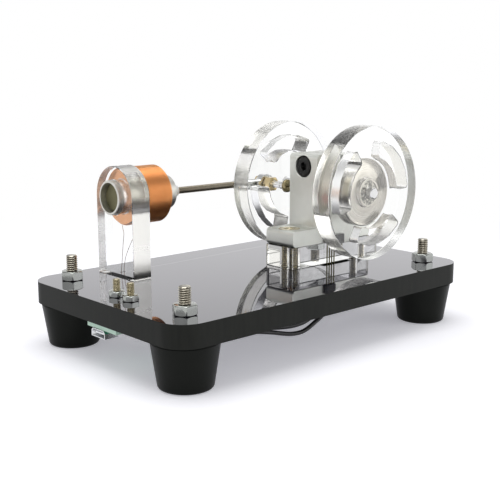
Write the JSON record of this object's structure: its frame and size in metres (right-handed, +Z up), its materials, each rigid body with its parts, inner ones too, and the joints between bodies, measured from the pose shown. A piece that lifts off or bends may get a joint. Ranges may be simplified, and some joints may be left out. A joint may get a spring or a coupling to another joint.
{
  "type": "demonstration electric motor",
  "caption": "Tabletop solenoid motor: a coil drives a magnet plunger, whose rod and crank turn a shaft with two clear flywheels on a black base with feet.",
  "frame": {"origin": "centre of the footprint, on the table under the feet", "axes": "+X from the coil to the flywheels along the base's long side, +Y along the shaft towards the crank, +Z up"},
  "size_m": [0.1366, 0.0844, 0.0743],
  "materials": {
    "black_acrylic": "polished black acrylic sheet with satin cut edges",
    "foot_plastic": "moulded black plastic, satin",
    "plated_screw": "plated steel screw",
    "yellow_screw": "yellow plated countersunk screw",
    "zinc_nut": "bright zinc plated nut",
    "clear_acrylic": "clear acrylic, polished faces",
    "satin_aluminium": "satin extruded aluminium",
    "black_steel": "black oxide steel",
    "bearing_steel": "ground bearing steel",
    "polished_steel": "polished steel",
    "turned_metal": "turned aluminium",
    "magnet": "plated magnet with a red mark",
    "brass_screw": "brass, machined",
    "bronze": "sintered bronze bush",
    "rod_steel": "threaded steel rod, dull",
    "white_nylon": "turned white nylon",
    "dark_magnet": "dull plated magnet",
    "tube_aluminium": "drawn aluminium tube",
    "copper": "enamelled copper wire, wound side by side",
    "sensor_black": "moulded black epoxy",
    "cable_black": "black insulation",
    "board_green": "green solder mask",
    "socket_metal": "folded tinned steel shell"
  },
  "bodies": {
    "base": {"base_plate": "black_acrylic", "feet": "foot_plastic", "foot_screws": "plated_screw", "foot_nuts": "zinc_nut", "riser_block": "clear_acrylic", "shaft_support": "satin_aluminium", "support_screws": "yellow_screw", "support_nuts": "zinc_nut", "clamp_screw": "black_steel", "bearings": "bearing_steel", "coil_bracket": "clear_acrylic", "coil_tube": "tube_aluminium", "coil_core": "copper", "coil_winding": "copper", "coil_leads": "copper", "hall_sensor": "sensor_black", "leg_sleeve": "cable_black", "sensor_cable": "cable_black", "circuit_board": "board_green", "supply_socket": "socket_metal", "terminal_screws": "brass_screw", "terminal_nuts": "zinc_nut"},
    "crank": {"shaft": "polished_steel", "flywheel_front": "clear_acrylic", "flywheel_back": "clear_acrylic", "trigger_hub": "turned_metal", "hub_grub_screw": "black_steel", "trigger_magnet": "magnet", "crank_screw": "brass_screw", "crank_nut": "brass_screw"},
    "plunger": {"wrist_pin": "polished_steel", "plunger_fork": "white_nylon", "plunger_magnet": "dark_magnet"},
    "rod": {"rod_end": "polished_steel", "rod_bush": "bronze", "rod_pin": "brass_screw", "rod_nut": "brass_screw", "connecting_rod": "rod_steel", "rod_nose": "white_nylon"}
  },
  "joints": [
    {"name": "crank_spin", "type": "hinge", "parent": "base", "child": "crank", "pos_m": [0.0304, -0.0028, 0.0505], "axis": [0, 1, 0], "continuous": true},
    {"name": "plunger_slide", "type": "slide", "parent": "base", "child": "plunger", "axis": [1, 0, 0], "range_m": [0, 0.0124]},
    {"name": "rod_swing", "type": "hinge", "parent": "plunger", "child": "rod", "pos_m": [-0.0352, 0.0245, 0.0505], "axis": [0, 1, 0], "range_deg": [-6.2, 5.78]}
  ]
}
